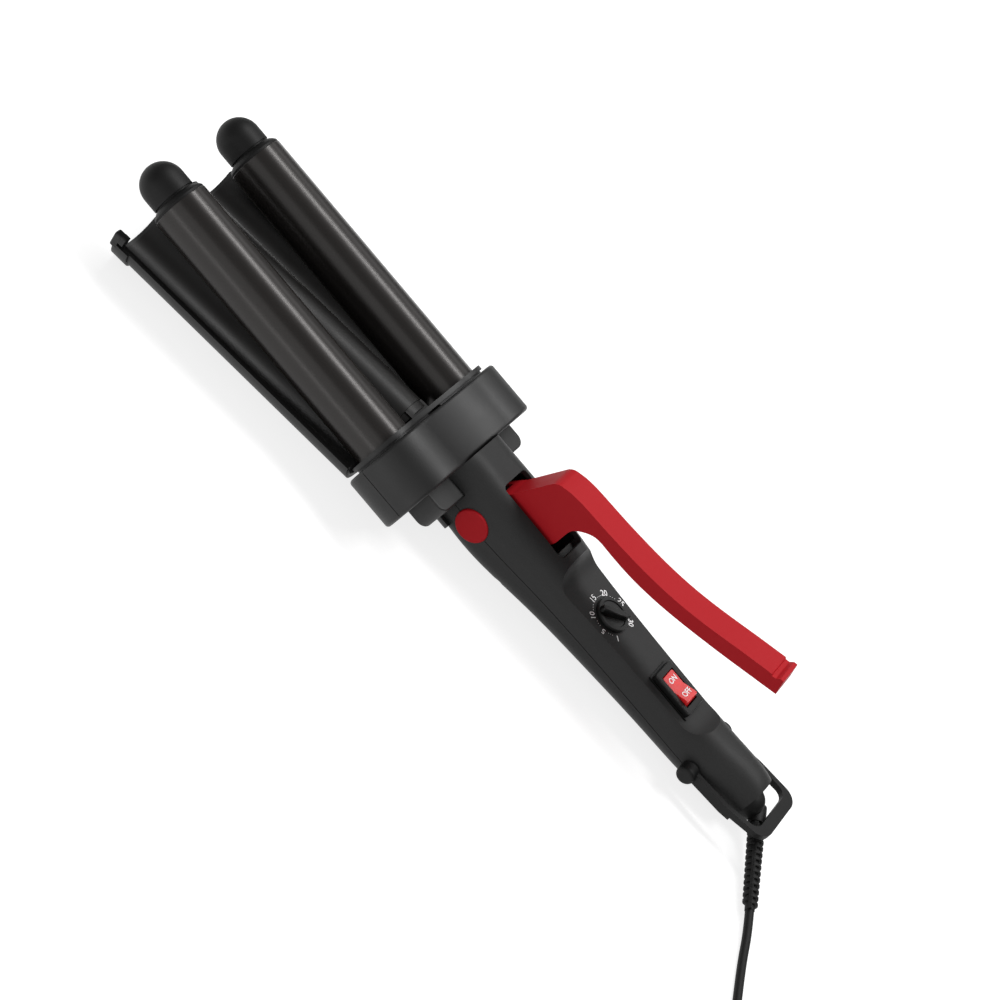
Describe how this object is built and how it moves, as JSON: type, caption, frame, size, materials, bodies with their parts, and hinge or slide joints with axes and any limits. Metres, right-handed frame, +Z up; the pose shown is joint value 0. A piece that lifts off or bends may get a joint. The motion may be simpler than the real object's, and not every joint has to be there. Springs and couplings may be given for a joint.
{
  "type": "hair waver",
  "caption": "Hair waver with two round heated barrels, a folded jaw that a red squeeze lever closes on them, a temperature dial, a rocker switch and a hanging loop.",
  "frame": {"origin": "centre of the iron's bounding box, on the table it lies on, without the cord", "axes": "+X from the cool tips to the cord, +Y from the left barrel to the right one, +Z up from the table"},
  "size_m": [0.4956, 0.1744, 0.0742],
  "materials": {
    "barrel_coating": "satin ceramic coat",
    "jaw_coating": "satin ceramic coat",
    "black_plastic": "satin",
    "collar_plastic": "fine texture",
    "red_plastic": "satin",
    "rocker_plastic": "gloss",
    "aluminium": "cast",
    "arm_metal": "die cast, black",
    "steel": "zinc plated",
    "ceramic": "matt",
    "heat_plastic": "matt",
    "board": "satin",
    "component": "satin",
    "brass": "plain",
    "cord_rubber": "matt"
  },
  "bodies": {
    "handle": {"barrel_left": "barrel_coating", "barrel_right": "barrel_coating", "cool_tip_left": "black_plastic", "cool_tip_right": "black_plastic", "heater_clamps_left": "aluminium", "heater_clamps_right": "aluminium", "heating_strip_left": "ceramic", "heating_strip_right": "ceramic", "thermal_fuse": "steel", "thermistor": "ceramic", "barrel_base_plate": "collar_plastic", "barrel_seat_left": "heat_plastic", "barrel_seat_right": "heat_plastic", "collar_upper_shell": "collar_plastic", "collar_lower_shell": "collar_plastic", "mounting_yoke": "collar_plastic", "yoke_screws": "steel", "handle_upper_shell": "black_plastic", "handle_lower_shell": "black_plastic", "handle_screws": "steel", "pivot_pin": "steel", "pivot_cap_left": "red_plastic", "pivot_cap_right": "red_plastic", "torsion_spring": "steel", "temperature_potentiometer": "component", "control_board": "board", "board_components": "component", "board_screws": "steel", "switch_body": "black_plastic", "switch_terminals": "brass"},
    "jaw": {"wave_plate": "jaw_coating", "jaw_back_cover": "black_plastic", "jaw_end_cap": "black_plastic", "jaw_arm": "arm_metal", "jaw_screws": "steel", "squeeze_lever": "red_plastic", "lever_screws": "steel"},
    "dial": {"dial_knob": "black_plastic"},
    "rocker": {"rocker": "rocker_plastic"},
    "loop": {"hanging_loop": "black_plastic"},
    "cord": {"cord_swivel": "black_plastic", "strain_relief": "cord_rubber", "cord": "cord_rubber", "cord_coil": "cord_rubber", "cord_tail": "cord_rubber", "plug_body": "cord_rubber", "plug_blades": "brass"}
  },
  "joints": [
    {"name": "jaw_pivot", "type": "hinge", "parent": "handle", "child": "jaw", "pos_m": [0.00916, 0, 0.02303], "axis": [0, 1, 0], "range_deg": [0, 7.3], "stiffness_Nm_per_rad": 1.5, "springref_deg": -28.65, "deforming": ["torsion_spring"]},
    {"name": "dial_turn", "type": "hinge", "parent": "handle", "child": "dial", "pos_m": [0.07506, 0, 0.02782], "axis": [0.0899, 0, 0.996], "range_deg": [0, 284]},
    {"name": "rocker_tilt", "type": "hinge", "parent": "handle", "child": "rocker", "pos_m": [0.11559, 0, 0.02517], "axis": [0, 1, 0], "range_deg": [0, 20]},
    {"name": "loop_swing", "type": "hinge", "parent": "handle", "child": "loop", "pos_m": [0.14267, 0, 0.01259], "axis": [0, 1, 0], "range_deg": [-47, 0]},
    {"name": "cord_turn", "type": "hinge", "parent": "handle", "child": "cord", "pos_m": [0.16979, 0, 0.01054], "axis": [0.996, 0, -0.0899], "range_deg": [0, 160]}
  ]
}
